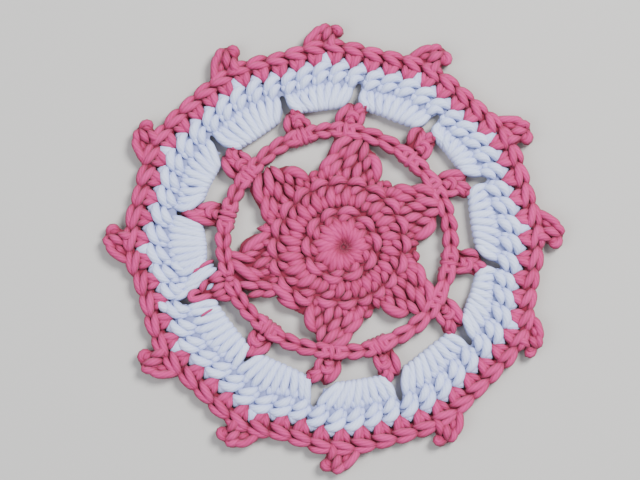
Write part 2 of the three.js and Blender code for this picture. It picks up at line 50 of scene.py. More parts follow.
STITCHES_PER_SHELL = 5
POSTS_PER_SHELL = 9
POST_WIDTH = 2.6
# Half the width that a strand beside a slit needs.
POST_HALF = 1.3
TOP_HALF = 1.4
FIRST_STITCH_SHARE = 0.11
SLIT_MOUTH_DEPTH = 4.5
SLIT_MARGIN = 0.25
TOOTH_DEPTH = 5.3
TOOTH_LIFT = 1.7
LINK_LENGTH = 4.9
LINK_END_SHARE = 0.55
CHAIN_INSET = 0.2
LINK_WIDTH = 2.5
WRAP_WIDTH = 2.1
STAR_CENTRE = (2.8, -0.4)
STAR_POINT_REACH = 31.4
STAR_POINT_FOOT = 20
# Radius of the second round that the strands of a star point were drawn for. Strands move with
# the round in full at the foot, and not at all past the second radius.
STAR_POINT_ROUND = 18.8
STAR_POINT_STEADY = 26
STAR_POINT_FULLNESS = 1.1
PICOT_HEIGHT = 6.2
MIDDLE = (0.0, 0.0)

# Share of a strand's width that is left at its ends, and where it closes.
END_SHARE = 0.35
TIP_SHARE = 0.6
TIP_LENGTH = 0.12
# A strand steeper than this share of its length keeps the side direction it came with.
LEAST_LEVEL_SHARE = 0.25
# Millimetres of strand for one turn of its texture coordinate.
STRAND_REPEAT = 10

# Tables

# One row for each of the twelve sectors, as in the part's source.
# slit, top, wide, lean: angle of the cut before the shell, radius of its closed end, its width
# where it opens, and how far it leans there. edge: radius of the shell's inner edge.
# foot: angles of the two ends of that edge. chain: radius of the chain ring under the leaf.
# posts_end: angle where the shell's own strands stop short of the joint.
# picot, reach: angle of the picot and radius of its top. rim, between: radius of the edging
# under the picot, and half-way to the next one.
SECTORS = [
    dict(slit=23.5, top=49.3, wide=2.6, lean=2.0, edge=42.9, foot=(30.5, 44.5), chain=34.6,
         picot=31.5, reach=67.8, rim=61.9, between=60.5),
    dict(slit=51.5, top=49.6, wide=2.0, lean=0.4, edge=41.1, foot=(57.0, 76.5), chain=34.3,
         picot=61.5, reach=67.5, rim=61.3, between=59.9),
    dict(slit=81.0, top=49.3, wide=1.8, lean=1.2, edge=40.5, foot=(87.5, 103.5), chain=34.6,
         picot=91.5, reach=66.2, rim=61.3, between=59.7),
    dict(slit=109.5, top=48.1, wide=1.3, lean=-0.3, edge=39.2, foot=(115.0, 133.5), chain=34.0,
         picot=119.5, reach=67.8, rim=61.6, between=61.6),
    dict(slit=138.3, top=49.2, wide=1.4, lean=1.0, edge=40.8, foot=(145.5, 160.0), chain=33.2,
         picot=149.5, reach=68.1, rim=62.8, between=61.0),
    dict(slit=168.0, top=48.7, wide=0.9, lean=0.6, edge=37.6, foot=(172.0, 186.5), chain=32.9,
         picot=178.0, reach=67.8, rim=61.9, between=59.0, posts_end=191.2),
    dict(slit=200.3, top=48.6, wide=2.2, lean=0.2, edge=37.9, foot=(206.0, 229.0), chain=32.3,
         picot=212.5, reach=66.9, rim=60.5, between=59.3),
    dict(slit=231.5, top=0.0, wide=0.0, lean=0.0, edge=37.9, foot=(236.5, 258.0), chain=31.4,
         picot=241.5, reach=66.0, rim=60.8, between=58.7),
    dict(slit=262.5, top=47.4, wide=2.8, lean=0.4, edge=39.9, foot=(271.5, 289.0), chain=31.1,
         picot=270.0, reach=66.3, rim=61.0, between=60.5),
    dict(slit=293.0, top=49.3, wide=2.0, lean=1.2, edge=40.5, foot=(300.5, 321.0), chain=32.3,
         picot=300.5, reach=66.6, rim=61.6, between=61.0),
    dict(slit=324.0, top=49.6, wide=2.6, lean=1.8, edge=42.3, foot=(331.5, 348.5), chain=34.0,
         picot=333.5, reach=66.9, rim=62.8, between=60.5),
    dict(slit=352.5, top=49.4, wide=1.6, lean=1.4, edge=40.8, foot=(359.5, 380.0), chain=34.3,
         picot=363.0, reach=67.5, rim=61.6, between=60.5),
]

# The leaves over the chain ring, as angle and radius.
# side: up its clockwise side. corner, tip, inside: the hood on that side. heart: the knot in its
# middle. peak, limb: the strand down its other side. base: angles of its first and last wrap.
LEAVES = [
    dict(side=[(26.2, 35.5), (24.0, 37.6), (23.8, 39.4)],
         corner=(20.8, 40.9), tip=(22.1, 43.6),
         inside=(27.4, 40.8), heart=(28.4, 38.9), peak=(28.0, 43.7),
         limb=[(30.8, 41.7), (32.8, 38.7), (33.4, 36.1)], base=(27.2, 33.6)),
    dict(side=[(44.8, 35.8), (44.6, 38.2), (45.4, 40.2)],
         corner=(46.4, 42.4), tip=(48.2, 44.4),
         inside=(50.4, 41.2), heart=(47.9, 39.4), peak=(53.3, 43.2),
         limb=[(55.2, 41.0), (54.6, 38.4), (54.0, 36.9)], base=(44.8, 52.4)),
    dict(side=[(79.4, 35.8), (78.0, 37.6), (77.8, 39.8)],
         corner=(76.8, 41.2), tip=(77.8, 43.2),
         inside=(82.0, 40.6), heart=(82.2, 38.5), peak=(83.6, 42.3),
         limb=[(85.6, 40.4), (87.8, 38.2), (88.8, 35.8)], base=(80.8, 88.0)),
    dict(side=[(101.8, 35.2), (102.2, 37.3), (104.0, 38.4)],
         corner=(104.0, 40.2), tip=(106.1, 42.4),
         inside=(108.0, 40.6), heart=(106.2, 38.7), peak=(109.6, 41.0),
         limb=[(110.8, 39.3), (111.8, 37.3), (111.8, 35.8)], base=(102.4, 110.6)),
    dict(side=[(135.0, 34.3), (134.6, 36.4), (135.2, 38.4)],
         corner=(135.0, 40.4), tip=(137.0, 42.4),
         inside=(140.6, 39.9), heart=(139.2, 36.3), peak=(141.4, 41.9),
         limb=[(143.4, 39.9), (145.0, 37.3), (145.6, 34.9)], base=(136.0, 144.6)),
    dict(side=[(160.4, 35.8), (161.8, 38.4), (164.0, 40.8)],
         corner=(165.2, 42.6), tip=(167.8, 45.6),
         inside=(167.4, 39.9), heart=(164.8, 37.6), peak=(168.7, 44.6),
         limb=[(169.0, 41.4), (169.6, 38.2), (169.8, 35.8)], base=(160.0, 169.6)),
    dict(side=[(227.0, 33.8), (227.8, 36.1), (229.8, 38.0)],
         corner=(230.2, 39.4), tip=(231.4, 41.5),
         inside=(232.6, 38.4), heart=(231.2, 36.1), peak=(232.2, 40.8),
         limb=[(234.4, 38.3), (236.4, 36.5), (236.6, 34.0)], base=(227.0, 236.0)),
    dict(side=[(264.4, 32.6), (262.2, 34.6), (261.8, 36.4)],
         corner=(258.4, 37.9), tip=(259.6, 40.8),
         inside=(264.4, 38.0), heart=(267.0, 36.1), peak=(266.2, 40.4),
         limb=[(268.8, 38.8), (271.4, 36.4), (272.4, 33.8)], base=(264.6, 272.4)),
    dict(side=[(289.8, 34.0), (290.0, 36.4), (290.2, 38.4)],
         corner=(289.4, 40.8), tip=(290.9, 43.6),
         inside=(294.4, 40.2), heart=(293.0, 37.6), peak=(296.2, 41.8),
         limb=[(297.6, 39.6), (298.2, 37.3), (298.2, 35.2)], base=(289.8, 298.0)),
    dict(side=[(327.6, 35.2), (325.2, 37.3), (324.2, 39.2)],
         corner=(322.2, 40.9), tip=(322.8, 43.5),
         inside=(326.8, 41.2), heart=(329.4, 39.0), peak=(328.3, 43.7),
         limb=[(331.2, 41.4), (333.6, 38.4), (334.4, 36.1)], base=(328.2, 335.0)),
    dict(side=[(347.4, 35.5), (348.6, 37.6), (349.4, 39.4)],
         corner=(348.8, 42.4), tip=(350.2, 45.5),
         inside=(354.0, 42.0), heart=(352.0, 39.3), peak=(355.2, 42.4),
         limb=[(356.8, 40.8), (357.2, 38.4), (356.8, 36.9)], base=(347.4, 355.0)),
]

# The twelfth leaf and the yarn beside it, where the rounds are joined: angle, radius and height
# of the middle of each strand.
JOIN_BASE = (192.6, 202.4)
JOIN_CORAL = [
    dict(width=2.5, path=[(192.8, 32.6, 2.5), (194.2, 35.2, 3.2), (195.4, 38.2, 2.9)]),
    dict(width=2.4, path=[(195.2, 38.4, 3.0), (197.0, 40.2, 3.6), (199.8, 41.2, 3.3)]),
    dict(width=2.3, path=[
        (199.4, 41.2, 3.4), (198.5, 42.8, 3.7), (198.9, 44.2, 3.8), (200.6, 44.6, 3.8),
        (201.6, 42.8, 3.7), (202.0, 40.4, 3.5), (202.2, 38.4, 3.1),
    ]),
    dict(width=2.2, path=[(196.4, 37.6, 3.0), (196.4, 35.6, 3.4), (197.4, 33.4, 3.0)]),
    dict(width=2.2, path=[(200.4, 38.4, 2.9), (199.8, 36.2, 3.3), (199.2, 33.4, 2.9)]),
    dict(width=2.4, path=[(202.6, 38.8, 2.8), (202.8, 36.4, 3.2), (202.2, 33.4, 2.8)]),
    dict(width=2.5, path=[(203.8, 38.2, 2.3), (205.4, 35.8, 2.7), (208.2, 33.2, 2.4)]),
    dict(width=2.2, path=[(194.4, 33.8, 2.6), (194.8, 32.0, 3.3), (195.0, 30.4, 2.6)]),
    dict(width=2.2, path=[(197.6, 33.8, 2.6), (197.8, 32.0, 3.3), (198.0, 30.4, 2.6)]),
    dict(width=2.2, path=[(200.8, 33.8, 2.6), (200.8, 32.0, 3.3), (200.8, 30.4, 2.6)]),
    dict(width=1.3, path=[(187.0, 35.6, 3.0), (188.2, 37.8, 3.9), (189.6, 40.2, 3.9)]),
    dict(width=1.9, path=[(189.3, 39.6, 3.6), (190.2, 41.4, 3.6), (190.9, 42.9, 3.0)]),
    dict(width=0.8, path=[(207.8, 40.0, 4.0), (207.9, 42.2, 4.3), (208.3, 44.2, 4.0)]),
]
JOIN_WHITE = [
    dict(width=2.3, path=[
        (188.9, 36.0, 2.4), (190.9, 38.8, 3.3), (192.8, 42.2, 3.3), (193.6, 44.8, 2.6),
    ]),
    dict(width=2.5, path=[
        (190.9, 35.0, 2.4), (192.5, 38.2, 3.5), (194.6, 42.2, 3.4), (195.2, 46.8, 2.7),
    ]),
    dict(width=2.3, path=[
        (193.2, 38.0, 2.2), (195.2, 40.8, 3.0), (196.6, 43.4, 3.1), (197.2, 46.8, 2.6),
    ]),
    dict(width=2.3, path=[(185.4, 48.6, 2.6), (187.9, 46.4, 3.2), (190.2, 43.8, 2.7)]),
    dict(width=2.2, path=[(194.4, 49.8, 2.6), (195.0, 47.0, 3.2), (194.9, 43.8, 2.8)]),
    dict(width=2.3, path=[(198.7, 49.8, 2.6), (198.2, 47.0, 3.2), (197.2, 43.6, 2.8)]),
    dict(width=2.2, path=[(199.8, 48.6, 2.6), (202.4, 48.4, 3.2), (205.4, 47.6, 2.8)]),
    dict(width=1.8, path=[(197.4, 37.0, 1.8), (198.4, 38.4, 2.0), (199.2, 39.6, 1.8)]),
    dict(width=2.9, path=[(197.2, 54.2, 2.8), (199.9, 53.0, 3.5), (202.8, 50.4, 2.8)]),
]

# Middle of the top stitches of the star's second round: angle and radius about its centre.
STAR_ROUND_TWO = [
    (10, 18.2), (43, 19.0), (85, 19.5), (125, 20.0), (165, 20.6), (200, 21.2), (225, 20.6),
    (250, 17.4), (280, 16.9), (320, 17.2), (350, 18.0),
]
ROUND_TWO_STITCHES = [
    -5, 13, 32, 51, 71, 88, 105, 122, 140, 157, 174, 191, 206, 223, 243, 265, 285, 301, 316, 334,
]
# Start of each top stitch of its first round: angle and radius.
ROUND_ONE_STITCHES = [
    (-8, 9.9), (28, 10.0), (65, 10.8), (101, 10.9), (131, 11.2), (165, 11.2), (197, 11.3),
    (232, 10.4), (268, 9.1), (312, 9.2),
]

STAR_POINTS = [
    dict(tip=30, reach=31.4),
    dict(tip=87, reach=32.8),
    dict(tip=141, reach=32.8),
    dict(tip=264, reach=29.4),
    dict(tip=327, reach=30.2),
]

# Strands of a star point: turn from its tip, radius about the star's centre, height of the
# strand's middle. Radii are for a point that reaches 31.4.
STAR_POINT_STRANDS = [
    dict(width=2.6, path=[(-27.5, 22.0, 2.3), (-27.0, 20.4, 2.9), (-26.5, 18.4, 2.3)]),
    dict(width=2.6, path=[(-20.5, 21.4, 2.3), (-20.5, 19.8, 2.9), (-20.0, 18.2, 2.3)]),
    dict(width=2.6, path=[(-13.0, 21.8, 2.3), (-13.0, 20.2, 2.9), (-13.0, 18.2, 2.3)]),
    dict(width=2.5, path=[(24.5, 22.0, 2.3), (24.5, 20.6, 2.8), (24.0, 18.8, 2.3)]),
    dict(width=2.5, path=[(13.0, 21.4, 2.3), (13.5, 20.0, 2.8), (13.5, 18.6, 2.3)]),
    dict(width=2.4, path=[(7.0, 22.6, 2.4), (7.0, 20.8, 2.9), (6.5, 18.8, 2.3)]),
    dict(width=2.5, path=[(-1.5, 23.2, 2.5), (1.0, 21.1, 3.0), (2.5, 18.4, 2.3)]),
    dict(width=2.6, path=[(-8.5, 25.0, 2.5), (-7.0, 22.6, 3.1), (-5.5, 18.4, 2.3)]),
    dict(width=2.7, path=[(21.5, 22.8, 2.3), (25.5, 22.6, 2.9), (30.0, 21.8, 2.3)]),
    dict(width=2.5, path=[(17.5, 23.4, 2.4), (20.0, 21.6, 3.0), (21.0, 19.0, 2.3)]),
    dict(width=2.6, path=[(12.0, 24.8, 2.5), (15.5, 22.6, 3.1), (18.0, 19.8, 2.3)]),
    dict(width=2.4, path=[(-19.0, 24.4, 2.4), (-17.0, 22.2, 2.9), (-16.5, 19.4, 2.3)]),
    dict(width=3.0, path=[
        (-23.5, 20.2, 2.2), (-20.5, 24.0, 3.0), (-16.5, 26.4, 3.1), (-11.0, 27.4, 2.5),
    ]),
    dict(width=2.4, path=[(-14.0, 27.2, 2.7), (-12.5, 25.4, 3.3), (-11.5, 22.4, 2.5)]),
    dict(width=2.5, path=[(4.0, 25.0, 2.6), (9.0, 23.0, 3.2), (16.0, 20.0, 2.3)]),
    dict(width=2.5, path=[(-5.5, 26.8, 2.6), (-1.5, 24.8, 3.2), (4.0, 22.2, 2.5)]),
    dict(width=2.6, path=[
        (4.5, 26.8, 2.6), (11.0, 25.5, 3.1), (16.5, 24.1, 3.0), (21.0, 22.6, 2.3),
    ]),
    dict(width=2.5, path=[(-9.0, 30.8, 2.6), (-9.0, 28.2, 3.3), (-7.5, 24.8, 2.5)]),
    dict(width=2.6, path=[(-6.8, 31.2, 2.7), (-2.5, 28.4, 3.4), (3.5, 24.8, 2.6)]),
    dict(width=2.6, path=[(-2.5, 31.4, 2.7), (5.5, 29.3, 3.4), (11.8, 26.0, 2.6)]),
    dict(width=2.4, path=[(-2.0, 28.6, 2.2), (3.0, 27.2, 2.6), (8.0, 25.4, 2.2)]),
]

# The sixth point, where the star's rounds begin: a chain up to the ring along its lower edge, and
# its other strands. Angle and radius about the star's centre, and height of the middle.
STAR_JOIN = [
    dict(width=2.6, path=[(168.0, 26.0, 2.3), (167.0, 23.6, 2.8), (168.0, 20.6, 2.3)]),
    dict(width=2.6, path=[(176.5, 24.6, 2.3), (177.0, 22.6, 2.9), (177.0, 20.4, 2.3)]),
    dict(width=2.4, path=[(186.0, 24.4, 2.3), (185.5, 22.6, 2.8), (185.5, 20.6, 2.3)]),
    dict(width=2.4, path=[(194.0, 24.4, 2.2), (194.5, 22.4, 2.8), (195.0, 20.8, 2.3)]),
    dict(width=2.4, path=[(201.0, 23.6, 2.2), (201.5, 22.0, 2.7), (202.0, 20.6, 2.3)]),
    dict(width=2.6, path=[(204.5, 24.8, 2.1), (205.5, 22.8, 2.6), (207.5, 20.6, 2.3)]),
    dict(width=2.4, path=[(196.6, 26.4, 2.1), (198.0, 24.2, 2.7), (199.0, 21.8, 2.3)]),
    dict(width=2.6, path=[(193.5, 27.6, 2.4), (191.0, 24.6, 3.1), (188.5, 21.2, 2.8)]),
    dict(width=2.7, path=[
        (184.2, 30.0, 2.4), (178.6, 27.2, 3.2), (172.6, 23.8, 2.9), (168.6, 21.4, 2.3),
    ]),
    dict(width=2.4, path=[(182.0, 27.8, 2.3), (180.0, 25.4, 2.9), (177.0, 22.6, 2.4)]),
    dict(width=2.0, path=[(184.6, 29.6, 2.6), (184.4, 27.4, 3.1), (184.0, 24.6, 2.5)]),
    dict(width=2.4, path=[
        (182.4, 34.4, 2.5), (184.6, 31.6, 3.1), (186.6, 29.0, 3.0), (189.2, 26.0, 2.4),
    ]),
    dict(width=2.2, path=[(191.8, 29.2, 2.5), (196.4, 27.0, 3.1), (201.2, 24.4, 2.4)]),
    dict(width=3.0, path=[
        (186.0, 33.6, 2.6), (192.6, 30.6, 3.5), (198.4, 28.2, 3.3), (202.0, 26.4, 2.6),
    ]),
    dict(width=2.3, path=[(207.2, 31.8, 2.4), (208.4, 29.0, 2.9), (210.8, 25.8, 2.4)]),
    dict(width=2.3, path=[(210.2, 28.4, 2.4), (212.4, 25.6, 3.0), (214.6, 22.6, 2.4)]),
    dict(width=2.5, path=[(217.4, 24.6, 2.3), (225.0, 23.4, 2.9), (234.6, 22.4, 2.4)]),
    dict(width=2.4, path=[(199.2, 32.8, 2.6), (202.0, 30.2, 3.3), (206.0, 27.0, 2.8)]),
    dict(width=2.5, path=[(201.6, 28.2, 2.7), (205.8, 26.0, 3.4), (211.6, 23.4, 2.8)]),
    dict(width=2.9, path=[
        (206.4, 24.2, 2.6), (215.0, 22.8, 3.4), (224.0, 22.2, 3.1), (230.0, 21.4, 2.4),
    ]),
]

# Strands of a picot: millimetres along the rim and outwards, and height of the middle.
PICOT_STRANDS = [
    dict(width=2.8, path=[(4.8, -0.6, 2.2), (3.2, 1.2, 2.7), (1.6, 2.4, 2.4)]),
    dict(width=3.2, path=[(2.6, 1.6, 2.2), (0.8, 3.0, 2.7), (-1.4, 3.4, 2.4)]),
    dict(width=3.0, path=[(-0.8, 4.4, 2.3), (-2.1, 3.2, 2.8), (-1.9, 1.0, 2.4)]),
    dict(width=2.6, path=[(-0.4, 4.8, 2.6), (-2.6, 4.4, 2.9), (-3.3, 2.9, 2.9), (-2.0, 1.4, 2.4)]),
    dict(width=2.6, path=[(3.4, 2.2, 2.6), (2.0, 4.4, 3.2), (0.6, 5.4, 3.0), (-0.6, 4.6, 2.6)]),
    dict(width=2.8, path=[(1.7, -0.4, 2.6), (0.6, 2.2, 3.5), (-0.8, 4.8, 2.9)]),
    dict(width=2.6, path=[
        (7.4, -1.8, 2.4), (6.0, 0.4, 3.1), (4.6, 2.6, 3.3), (3.0, 4.1, 3.1), (1.0, 4.5, 2.6),
    ]),
    dict(width=3.0, path=[(-0.8, -3.6, 2.8), (-0.6, -1.0, 3.6), (-1.5, 2.0, 3.1)]),
]

# Strands of one stitch over the shells, and of one stitch of the edging: share of the way to the
# next stitch, millimetres out from the rim, and height of the middle. taper: what is left of the
# width at the start and at the end.
SHELL_TOP_STRANDS = [
    dict(width=2.6, path=[(-0.34, -9.6, 2.4), (-0.3, -11.2, 3.0), (-0.16, -12.8, 2.4)]),
    dict(width=2.7, path=[(-0.25, -12.0, 2.2), (-0.2, -13.8, 2.7), (-0.15, -15.8, 2.4)]),
    dict(width=2.7, path=[(0.26, -12.6, 2.2), (0.3, -14.0, 2.8), (0.3, -16.0, 2.4)]),
    dict(width=2.9, path=[
        (-0.24, -9.9, 2.8), (0.08, -10.3, 3.5), (0.42, -11.7, 3.4), (0.62, -13.6, 2.6),
    ]),
    dict(width=3.0, path=[
        (-0.36, -7.9, 2.7), (0.0, -7.6, 3.5), (0.42, -8.7, 3.5), (0.8, -10.9, 2.7),
    ]),
]
EDGING_LEG_STRANDS = [
    dict(width=3.2, taper=END_SHARE, path=[
        (0.0, -3.0, 2.2), (0.02, -4.8, 2.9), (0.06, -7.6, 2.8),
    ]),
    dict(width=2.8, taper=(0.35, 0.3), path=[
        (-0.36, -3.0, 2.4), (-0.22, -4.6, 3.2), (-0.04, -6.6, 3.3), (0.08, -8.5, 2.9),
    ]),
    dict(width=2.5, taper=(0.35, 0.3), path=[
        (0.34, -3.0, 2.4), (0.28, -4.4, 3.1), (0.19, -6.1, 3.1), (0.13, -7.9, 2.8),
    ]),
]
EDGING_BRAID_STRANDS = [
    dict(width=2.5, taper=END_SHARE, path=[
        (-0.55, -1.3, 2.3), (-0.2, -0.8, 2.9), (0.25, -0.9, 2.9), (0.68, -1.8, 2.4),
    ]),
    dict(width=2.7, taper=END_SHARE, path=[
        (-0.54, -3.8, 2.7), (-0.22, -3.2, 3.4), (0.2, -2.3, 3.4), (0.66, -1.4, 2.6),
    ]),
]

# One strand of a link of the chain ring: share of its length, distance from the middle line, and
# height of the middle.
LINK_STRAND = [(-0.1, 0.9, 2.5), (0.3, 1.45, 3.2), (0.8, 1.0, 3.1), (1.3, 0.35, 2.4)]

rng = random.Random(11)


# Places

def place(angle, radius, height=0.0, centre=MIDDLE):
    turn = math.radians(angle)
    return (
        centre[0] + radius * math.cos(turn),
        centre[1] + radius * math.sin(turn),
        height,
    )


def round_about(stations):
    """A smooth function of the angle through the stations, closed round the circle."""
    ordered = sorted((angle % 360, value) for angle, value in stations)
    angles = [a for a, _ in ordered]
    values = [v for _, v in ordered]
    angles = [angles[-1] - 360] + angles + [angles[0] + 360]
    values = [values[-1]] + values + [values[0]]

    def at(angle):
        angle = angle % 360
        for n in range(len(angles) - 1):
            if angles[n] <= angle <= angles[n + 1]:
                share = (angle - angles[n]) / (angles[n + 1] - angles[n])
                share = share * share * (3 - 2 * share)
                return values[n] + share * (values[n + 1] - values[n])
        return values[0]

    return at


def following(index):
    return SECTORS[(index + 1) % len(SECTORS)]


def turn_to(start, end):
    return (end - start) % 360


rim_stations = []
edge_stations = []
for index, s in enumerate(SECTORS):
    to_next_picot = turn_to(s["picot"], following(index)["picot"])
    to_next_slit = turn_to(s["slit"], following(index)["slit"])
    rim_stations.append((s["picot"], s["rim"]))
    rim_stations.append((s["picot"] + to_next_picot / 2, s["between"]))
    edge_stations.append((s["slit"] + to_next_slit / 2, s["edge"]))
rim_radius = round_about(rim_stations)
edge_radius = round_about(edge_stations)
chain_radius = round_about([(s["slit"] + 2, s["chain"]) for s in SECTORS])
round_two_radius = round_about(STAR_ROUND_TWO)


def outer_stitches():
    """Sector, angle and pitch of each of the stitches over the shells, and its place in it."""
    for index, s in enumerate(SECTORS):
        pitch = turn_to(s["slit"], following(index)["slit"]) / STITCHES_PER_SHELL
        for n in range(STITCHES_PER_SHELL):
            angle = s["slit"] + pitch * (FIRST_STITCH_SHARE * STITCHES_PER_SHELL + n)
            yield index, angle, pitch, n


def tooth_top(angle):
    """Radius of the top of a white tooth. The one that follows a picot reaches farther out."""
    lift = 0.0
    for s in SECTORS:
        after = turn_to(s["picot"], angle)
        if after < 4.5 or after > 359.5:
            lift = TOOTH_LIFT
    return rim_radius(angle) - TOOTH_DEPTH + lift


def clear_of_slit(angle, radius, half, index, after):
    """The angle, moved off the slit before a shell where a strand would cross it.

    half: half the width of the strand. after: whether it belongs to the shell after the slit.
    """
    s = SECTORS[index % len(SECTORS)]
    if radius > s["top"] + half * 0.6:
        return angle
    share = min(max((s["top"] - radius) / SLIT_MOUTH_DEPTH, 0.0), 1.0)
    room = SLIT_MARGIN + share * s["wide"] / 2 + half
    middle = s["slit"] + s["lean"] * share
    offset = (angle - middle + 180) % 360 - 180
    least = math.degrees(room / radius)
    if after:
        return middle + max(offset, least)
    return middle + min(offset, -least)


# Yarn

def smooth_path(points, step):
    """Points along a Catmull-Rom curve through the given ones."""
    p = np.array(points, dtype=float)
    p = np.vstack([2 * p[0] - p[1], p, 2 * p[-1] - p[-2]])
    made = []
    for n in range(1, len(p) - 2):
        a, b, c, d = p[n - 1], p[n], p[n + 1], p[n + 2]
        count = max(2, int(round(np.linalg.norm(c - b) / step)))
        for t in np.linspace(0, 1, count, endpoint=False):
            bend = (2 * a - 5 * b + 4 * c - d) * t**2 + (3 * b - a - 3 * c + d) * t**3
            made.append(0.5 * (2 * b + (c - a) * t + bend))
    made.append(p[-2])
    return np.array(made)


class Strands:
    """Strands of yarn gathered into one mesh."""

    def __init__(self, fullness=0.92):
        self.fullness = fullness
        self.points = []
        self.faces = []
        self.uvs = []
        self.tints = []
        self.painted_lights = []
        self.count = 0

    def add(
        self, points, width=YARN, flatness=0.9, sides=10, step=0.75, taper=END_SHARE, wobble=0.06,
    ):
        """One strand through the points, in millimetres.

        taper: the share of the width left at its ends, or at its start and its end.
        """
        tapers = taper if isinstance(taper, tuple) else (taper, taper)
        shift = [[rng.uniform(-wobble, wobble) for _ in range(3)] for _ in points]
        path = smooth_path(np.array(points, dtype=float) + np.array(shift), step)
        count = len(path)
        along = np.gradient(path, axis=0)
        along /= np.linalg.norm(along, axis=1)[:, None]
        side = np.cross(np.array([0.0, 0.0, 1.0]), along)
        flat = np.linalg.norm(side, axis=1)
        for n in range(count):
            if flat[n] < LEAST_LEVEL_SHARE:
                side[n] = side[n - 1] if n else np.cross(np.array([0.0, 1.0, 0.0]), along[n])
        for n in range(1, count):
            if np.dot(side[n], side[n - 1]) < 0:
                side[n] = -side[n]
        side /= np.linalg.norm(side, axis=1)[:, None]
        width = width * self.fullness
        up = np.cross(along, side)
        length = np.concatenate([[0], np.cumsum(np.linalg.norm(np.diff(path, axis=0), axis=1))])
        share = length / length[-1]
        size = np.ones(count)
        for left, distance in zip(tapers, (share, 1 - share)):
            reach = (1.7 - 1.2 * left) * width
            near = np.clip(distance * length[-1] / reach, 0, 1)
            size = np.minimum(size, left + (1 - left) * np.sin(near * math.pi / 2))
        size[0] *= TIP_SHARE
        size[-1] *= TIP_SHARE
        turns = np.arange(sides) / sides * 2 * math.pi
        start = self.count
        tint = rng.uniform(0, 1)
        shift_u = rng.random()
        across = np.cos(turns)[None, :, None] * (size * width / 2)[:, None, None]
        upwards = np.sin(turns)[None, :, None] * (size * width * flatness / 2)[:, None, None]
        ring = path[:, None, :] + side[:, None, :] * across + up[:, None, :] * upwards
        ring = ring.reshape(-1, 3)
        first = path[0] - along[0] * width * TIP_LENGTH
        last = path[-1] + along[-1] * width * TIP_LENGTH
        self.points.append(ring)
        self.points.append(np.array([first, last]))
        total = count * sides
        self.tints.extend([tint] * (total + 2))
        # Painted highlight on the top and underside of each strand, and painted shade at its
        # sides, where the creases between strands fall, and towards its thin ends and tips.
        open_share = 0.2 + 0.8 * np.clip((size - 0.35) / 0.65, 0, 1)
        painted_light = np.abs(np.sin(turns))[None, :] * open_share[:, None]
        self.painted_lights.extend(painted_light.ravel().tolist())
        self.painted_lights.extend([0.0, 0.0])
        for n in range(count - 1):
            v0 = shift_u + length[n] / STRAND_REPEAT
            v1 = shift_u + length[n + 1] / STRAND_REPEAT
            low = start + n * sides
            high = low + sides
            for k in range(sides):
                m = (k + 1) % sides
                self.faces.append((low + k, low + m, high + m, high + k))
                u0 = k / sides
                u1 = (k + 1) / sides
                self.uvs.extend([(u0, v0), (u1, v0), (u1, v1), (u0, v1)])
        for k in range(sides):
            m = (k + 1) % sides
            u0 = k / sides
            u1 = (k + 1) / sides
            self.faces.append((start + total, start + m, start + k))
            self.uvs.extend([(u0, shift_u - 0.03), (u1, shift_u), (u0, shift_u)])
            base = start + (count - 1) * sides
            v1 = shift_u + length[-1] / STRAND_REPEAT
            self.faces.append((start + total + 1, base + k, base + m))
            self.uvs.extend([(u0, v1 + 0.03), (u0, v1), (u1, v1)])
        self.count += total + 2

    def both_sides(self, points, width=YARN, sides=10, **more):
        """One strand, and its like on the underside, kept above the surface."""
        self.add(points, width=width, sides=sides, **more)
        lowest = width * 0.45 + 0.05
        under = [(x, y, max(THICKNESS - z, lowest)) for x, y, z in points]
        self.add(under, width=width, sides=8, **more)

    def make(self, name, material):
        mesh = bpy.data.meshes.new(name)
        points = np.vstack(self.points) * MM
        mesh.from_pydata(points.tolist(), [], self.faces)
        layer = mesh.uv_layers.new(name="strand")
        layer.data.foreach_set("uv", np.array(self.uvs, dtype=np.float32).ravel())
        tint = mesh.attributes.new("tint", "FLOAT", "POINT")
        tint.data.foreach_set("value", np.array(self.tints, dtype=np.float32))
        # The painted highlight and painted shade of each point, read by the material.
        painted_light = mesh.attributes.new("painted_light", "FLOAT", "POINT")
        painted_light.data.foreach_set("value", np.array(self.painted_lights, dtype=np.float32))
        mesh.polygons.foreach_set("use_smooth", [True] * len(mesh.polygons))
        mesh.materials.append(material)
        mesh.update()
        piece = bpy.data.objects.new(name, mesh)
        bpy.context.collection.objects.link(piece)
        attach(piece, "root")
        return piece


# Materials

PLIES_ROUND = 7.0
PLIES_ALONG = 4.5
# Distance from the middle of the thickness over which the yarn's painted shade, darkest where it
# dips between its neighbours, goes from deep to light.
PAINTED_SHADE_FROM = -0.2
PAINTED_SHADE_TO = 1.9
# What each cause adds to the lightness, and what is taken off the sum. Height adds painted shade
# low down between the strands, and the top of each strand a painted highlight; patches, fibres and
# tint add tone that differs at random.
PAINTED_SHADE_BY_HEIGHT = 0.34
PAINTED_CROWN_HIGHLIGHT = 0.42
LIGHT_FROM_PATCHES = 0.12
LIGHT_FROM_FIBRES = 0.14
LIGHT_FROM_TINT = 0.10
LIGHT_TAKEN_OFF = 0.10
MIDDLE_TONE = 0.6


